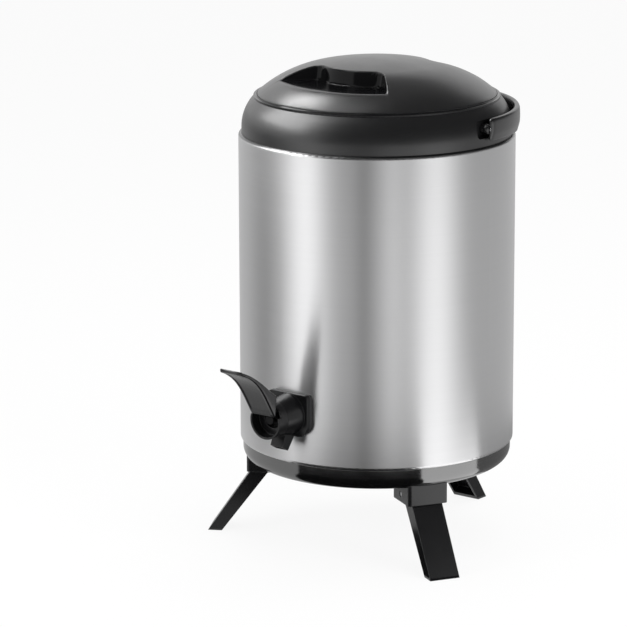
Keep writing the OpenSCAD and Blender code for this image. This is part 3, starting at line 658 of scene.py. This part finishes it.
class DispenserSettings(bpy.types.PropertyGroup):
    """Sizes, colours and the view of the dispenser."""

    steel: bpy.props.FloatVectorProperty(
        name="Steel", description="Colour of the brushed steel", subtype="COLOR", size=3,
        default=(0.58, 0.58, 0.585))
    black: bpy.props.FloatVectorProperty(
        name="Black", description="Colour of the moulded plastic", subtype="COLOR", size=3,
        default=(0.005, 0.005, 0.0055))
    azimuth: bpy.props.FloatProperty(
        name="Azimuth", description="Turn of the camera from the front", subtype="ANGLE",
        default=math.radians(37.0))
    crown: bpy.props.FloatProperty(
        name="Crown", description="Radius of the lid's crown", unit="LENGTH", default=0.347)
    shoulder: bpy.props.FloatProperty(
        name="Shoulder", description="Radius of the lid's shoulder", unit="LENGTH", default=0.1185)
    blend: bpy.props.FloatProperty(
        name="Blend", description="Slope where crown and shoulder meet", subtype="ANGLE",
        default=math.radians(9.0))
    grip_radius: bpy.props.FloatProperty(
        name="Grip", description="Radius of the raised grip's ends", unit="LENGTH", default=0.053)
    recess_reach: bpy.props.FloatProperty(
        name="Recess", description="Half the turn of a finger recess", subtype="ANGLE",
        default=math.radians(43.0))
    recess_depth: bpy.props.FloatProperty(
        name="Recess depth", description="From the lid's top to a recess's floor", unit="LENGTH",
        default=0.0183)
    lever_width: bpy.props.FloatProperty(
        name="Lever width", description="Width of the lever's paddle", unit="LENGTH", default=0.029)
    lever_reach: bpy.props.FloatProperty(
        name="Lever reach", description="Reach of its tip from the mouth", unit="LENGTH",
        default=0.052)
    lever_rise: bpy.props.FloatProperty(
        name="Lever rise", description="Height of its tip above the tap's axis", unit="LENGTH",
        default=0.0598)
    bail_thickness: bpy.props.FloatProperty(
        name="Bail thickness", description="Thickness of the bail's strap", unit="LENGTH",
        default=0.0062)
    bail_height: bpy.props.FloatProperty(
        name="Bail height", description="Height of the strap at its ends", unit="LENGTH",
        default=0.0214)
    bail_ahead: bpy.props.FloatProperty(
        name="Bail end", description="How far the strap's ends stand in front of the pivots",
        unit="LENGTH", default=0.0022)
    bail_blunt: bpy.props.FloatProperty(
        name="Bail rounding", description="Length over which the ends are rounded", unit="LENGTH",
        default=0.0040)


class DISPENSER_OT_drum(bpy.types.Operator):
    """Finishes the steel skin, the vessel, the foam and the gaskets"""

    bl_idname = "dispenser.drum"
    bl_label = "Drum"

    def execute(self, context):
        steel = tuple(context.scene.dispenser.steel)
        # The skin above its rolled edge gets painted shade, as under the collar.
        rolled_edge = 0.0022
        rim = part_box("outer_shell")[1][2] - rolled_edge
        wear(brushed_steel("brushed_skin", steel, roughness=0.30, streak=1.0, turned=True, rim=rim),
             "outer_shell")
        wear(brushed_steel("vessel_steel", steel, roughness=0.30, streak=0.5, turned=False),
             "inner_vessel")
        wear(foamed("cream_foam", (0.80, 0.72, 0.50)), "foam_insulation", "lid_foam")
        wear(rubber("pale_silicone", (0.76, 0.76, 0.73), 0.5),
             "vessel_gasket", "lid_seal", "tap_inner_gasket", "valve_seal")
        wear(rubber("black_rubber", (0.02, 0.02, 0.021), 0.6), "tap_flange_gasket", "gland_ring")
        return {"FINISHED"}


class DISPENSER_OT_collar(bpy.types.Operator):
    """Builds the bail and finishes the collar and the bail's pins"""

    bl_idname = "dispenser.collar"
    bl_label = "Collar and bail"

    def execute(self, context):
        black = tuple(context.scene.dispenser.black)
        # Inside this radius the collar's ridge by the lid gets painted shade, a dark band like a
        # seam's gap.
        lid_seam = 0.1181
        wear(moulded("collar_satin", black, roughness=0.34, grain=1500.0, depth=0.00002,
                     edge_radius=0.0002, wear_and_highlight=0.004, ior=1.68, seam=lid_seam), "collar")
        strap = moulded("bail_satin", black, roughness=0.30, grain=1500.0, depth=0.00002,
                        edge_radius=0.0003, ior=1.7)
        self.bail(context.scene.dispenser, strap)
        wear(brushed_steel("pin_steel", PIN_STEEL, roughness=0.25, streak=0.6, turned=False),
             "bail_pin_right", "bail_pin_left")
        return {"FINISHED"}

    @staticmethod
    def bail(size, finish):
        """The strap and the two round hubs that stand in the collar's pockets, as one piece."""
        pin_low, pin_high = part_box("bail_pin_right")
        pivot = np.array([0.0, (pin_low[2] + pin_high[2]) / 2])
        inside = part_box("carry_bail")[1][0] - size.bail_thickness
        hub_radius, hub_length = 0.0048, 0.0062
        hub = arm_outline(0.0, hub_radius, 0.0, np.linspace(0.0, 2 * math.pi, 48, endpoint=False))
        low, high = inside - hub_length, inside + size.bail_thickness / 3
        made = sheet("bail", (bail_grid(size), True), (plate_grid(hub, pivot, low, high), True),
                     (plate_grid(hub, pivot, -high, -low), True))
        face_out(made)
        made.data.materials.append(finish)
        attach(made, "bail")
        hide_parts("carry_bail")


class DISPENSER_OT_lid(bpy.types.Operator):
    """Builds the lid's dome and finishes it and its plug"""

    bl_idname = "dispenser.lid"
    bl_label = "Lid"

    def execute(self, context):
        size = context.scene.dispenser
        black = tuple(size.black)
        lid = sheet("lid_dome", (lid_grid(size), True))
        shell = lid.modifiers.new("wall", "SOLIDIFY")
        shell.thickness = 0.003
        shell.offset = -1.0
        spots = points_of(lid)
        off_axis, apex = np.hypot(spots[:, 0], spots[:, 1]), spots[:, 2].max()
        below = lid_height(off_axis, apex, size.crown, size.shoulder, size.blend) - spots[:, 2]
        # The recesses get the darker mix: partly their own gloss, partly painted shade.
        sunk_from, sunk_over = 0.0005, 0.0012
        keep_value(lid, "sunk", smooth_step((below - sunk_from) / sunk_over))
        lid.data.materials.append(
            moulded("lid_satin", black, roughness=0.32, grain=1500.0, depth=0.00002,
                    edge_radius=0.0004, ior=1.9, sunk=True))
        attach(lid, "lid")
        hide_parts("lid_cover")
        wear(moulded("plug_satin", tint(black, 1.5), roughness=0.42, grain=1100.0, depth=0.00004,
                     edge_radius=0.0008), "lid_plug")
        return {"FINISHED"}


class DISPENSER_OT_base(bpy.types.Operator):
    """Finishes the base cover, the legs, their brackets, pins and screws"""

    bl_idname = "dispenser.base"
    bl_label = "Base and legs"

    def execute(self, context):
        black = tuple(context.scene.dispenser.black)
        wear(moulded("base_gloss", tint(black, 0.4), roughness=0.10, grain=900.0, depth=0.000004,
                     edge_radius=0.0005, ior=2.4), "base_cover")
        # The legs' strong edge paling is a painted highlight along their edges.
        wear(moulded("leg_gloss", black, roughness=0.24, grain=1100.0, depth=0.00001,
                     edge_radius=0.0009, wear_and_highlight=0.12, ior=1.42), *(f"leg_{side}" for side in SIDES))
        wear(moulded("bracket_gloss", black, roughness=0.24, grain=1100.0, depth=0.00001,
                     edge_radius=0.001), *(f"leg_bracket_{side}" for side in SIDES))
        wear(brushed_steel("screw_steel", SCREW_STEEL, roughness=0.3, streak=0.6, turned=False),
             "bracket_screws", *(f"leg_pin_{side}" for side in SIDES))
        return {"FINISHED"}


class DISPENSER_OT_tap(bpy.types.Operator):
    """Builds the lever and finishes the tap, its valve and the lever's pin"""

    bl_idname = "dispenser.tap"
    bl_label = "Tap"

    def execute(self, context):
        black = tuple(context.scene.dispenser.black)
        wear(moulded("tap_gloss", black, roughness=0.25, grain=1300.0, depth=0.00002,
                     edge_radius=0.001, ior=1.36), "tap_body", "tap_bonnet", "tap_nut")
        # The valve stem is darker and dimmer than the other black parts: painted shade, as it sits
        # in the mouth.
        wear(moulded("stem_painted_shade", tint(black, 0.5), roughness=0.5, grain=900.0, depth=0.00002,
                     edge_radius=0.0005, wear_and_highlight=0.0, ior=1.25), "valve_stem")
        handle = moulded("lever_gloss", black, roughness=0.22, grain=1300.0, depth=0.00001,
                         edge_radius=0.0003)
        self.lever(context.scene.dispenser, handle)
        wear(brushed_steel("lever_pin_steel", PIN_STEEL, roughness=0.25, streak=0.6, turned=False),
             "lever_pin")
        return {"FINISHED"}

    @staticmethod
    def lever(size, finish):
        """The paddle with its hub, web and the two arms and fingers of its fork, as one piece.

        The web's corners are in millimetres, forward and up from the pivot.
        """
        pin_low, pin_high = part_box("lever_pin")
        pivot = np.array([-(pin_low[1] + pin_high[1]) / 2, (pin_low[2] + pin_high[2]) / 2])
        arm_length, arm_radius, lean = 0.012, 0.0015, math.radians(35.0)
        hub_radius, half, arm_inside, finger_inside = 0.0041, 0.0066, 0.005, 0.0022
        finger_short, mouth_ahead, edge = 0.0004, 0.0033, 0.0003
        finger_outside = half - finger_short
        front, axis = pivot[0] + mouth_ahead, pivot[1] - arm_length
        turn = np.linspace(0.0, 2 * math.pi, 72, endpoint=False)
        corners = np.array([[0.0, -3.0], [7.0, -4.0], [8.0, 10.0], [4.0, 13.0], [-3.0, 2.0]]) / 1000
        arm = arm_outline(arm_length, arm_radius, -lean, turn)
        arm_end = arm_length * np.array([-math.sin(lean), -math.cos(lean)])
        finger = arm_outline(0.0, arm_radius, 0.0, turn) + arm_end
        grids = [(paddle_grid(front, axis, size), True),
                 (plate_grid(hub_outline(corners, hub_radius, turn), pivot, -half, half), True)]
        pairs = ((arm, arm_inside, half), (finger, finger_inside, finger_outside))
        for outline, inside, outside in pairs:
            for low, high in ((-outside, -inside), (inside, outside)):
                grids.append((plate_grid(outline, pivot, low, high, edge), True))
        made = sheet("lever", *grids)
        face_out(made)
        made.data.materials.append(finish)
        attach(made, "lever")
        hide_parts("tap_lever")


class DISPENSER_OT_stage(bpy.types.Operator):
    """Sets the camera, the pale floor, the lamps and the cards that shape the reflections"""

    bl_idname = "dispenser.stage"
    bl_label = "Stage"

    def execute(self, context):
        scene = context.scene
        scene.view_settings.view_transform = "Standard"
        self.place_camera(scene)
        self.lay_floor()
        self.light_world(scene)
        for values in LAMPS:
            lamp(*values)
        cove("cove")
        for values in CARDS:
            card(*values)
        for values in CANOPIES:
            canopy(*values)
        return {"FINISHED"}

    @staticmethod
    def place_camera(scene):
        """Camera that looks level at the axis from its turn, turned by yaw, pitch and roll."""
        turn, pitch, yaw, roll = scene.dispenser.azimuth, CAMERA_PITCH, CAMERA_YAW, CAMERA_ROLL
        right = np.array([math.cos(turn), math.sin(turn), 0.0])
        away = np.array([-math.sin(turn), math.cos(turn), 0.0])
        up = np.array([0.0, 0.0, 1.0])
        level = math.sin(yaw) * right + math.cos(yaw) * away
        ahead = math.cos(pitch) * level - math.sin(pitch) * up
        side = math.cos(yaw) * right - math.sin(yaw) * away
        top = np.cross(side, ahead)
        view = np.eye(4)
        view[:3, 0] = math.cos(roll) * side + math.sin(roll) * top
        view[:3, 1] = math.cos(roll) * top - math.sin(roll) * side
        view[:3, 2] = -ahead
        view[:3, 3] = CAMERA_HEIGHT * up - CAMERA_REACH * away
        lens = bpy.data.cameras.new("photo_camera")
        lens.sensor_width = SENSOR
        lens.lens = SENSOR * FOCAL_PIXELS / PIXELS
        lens.clip_end = 100.0
        camera = bpy.data.objects.new("photo_camera", lens)
        scene.collection.objects.link(camera)
        camera.matrix_world = Matrix(view.tolist())
        scene.camera = camera

    @staticmethod
    def seen(paint):
        """1 on the rays of the camera, of mirrors and of glass, 0 on the others."""
        camera = paint.node("ShaderNodeLightPath", out="Is Camera Ray")
        mirror = paint.node("ShaderNodeLightPath", out="Is Glossy Ray")
        glass = paint.node("ShaderNodeLightPath", out="Is Transmission Ray")
        return (camera + mirror + glass).clamped()

    def lay_floor(self):
        """White floor that keeps a faint shadow."""
        half_width, grey, white_share = 20.0, 0.9, 0.9
        spread = np.linspace(-half_width, half_width, 3)
        x, y = np.meshgrid(spread, spread)
        floor = sheet("floor", (np.stack([x, y, np.zeros_like(x)], axis=-1), False))
        made, paint = material("white_floor")
        matt = paint.node("ShaderNodeBsdfDiffuse", None, {"Color": (grey, grey, grey, 1.0)})
        white = paint.node("ShaderNodeEmission", None, {"Color": (1, 1, 1, 1), "Strength": 1.0})
        mix = {0: self.seen(paint) * white_share, 1: matt, 2: white}
        paint.end(paint.node("ShaderNodeMixShader", None, mix))
        floor.data.materials.append(made)

    def light_world(self, scene):
        """Even white surroundings, softer on matt surfaces than in mirrors."""
        world = bpy.data.worlds.new("white_studio")
        world.cycles.sampling_method = "NONE"
        scene.world = world
        world.use_nodes = True
        paint = Paint(world.node_tree)
        matt_level = 0.62
        level = matt_level + self.seen(paint) * (1.0 - matt_level)
        sky = paint.node("ShaderNodeBackground", None, {"Color": (1, 1, 1, 1), "Strength": level})
        paint.node("ShaderNodeOutputWorld", None, {"Surface": sky})


class DISPENSER_PT_panel(bpy.types.Panel):
    """Lists the dispenser's settings and steps"""

    bl_idname = "DISPENSER_PT_panel"
    bl_label = "Dispenser"
    bl_space_type = "VIEW_3D"
    bl_region_type = "UI"
    bl_category = "Dispenser"

    def draw(self, context):
        for key in DispenserSettings.__annotations__:
            self.layout.prop(context.scene.dispenser, key)
        for step in STEPS:
            self.layout.operator(step.bl_idname)


STEPS = (
    DISPENSER_OT_drum, DISPENSER_OT_collar, DISPENSER_OT_lid, DISPENSER_OT_base, DISPENSER_OT_tap,
    DISPENSER_OT_stage,
)
CLASSES = (DispenserSettings, *STEPS, DISPENSER_PT_panel)


def register():
    """Adds the settings, the steps and the panel to Blender."""
    for made in CLASSES:
        bpy.utils.register_class(made)
    bpy.types.Scene.dispenser = bpy.props.PointerProperty(type=DispenserSettings)


def unregister():
    """Takes them out again."""
    del bpy.types.Scene.dispenser
    for made in reversed(CLASSES):
        bpy.utils.unregister_class(made)


def main():
    """Builds every piece in order."""
    register()
    for step in STEPS:
        group, name = step.bl_idname.split(".")
        getattr(getattr(bpy.ops, group), name)()


if __name__ == "__main__":
    main()
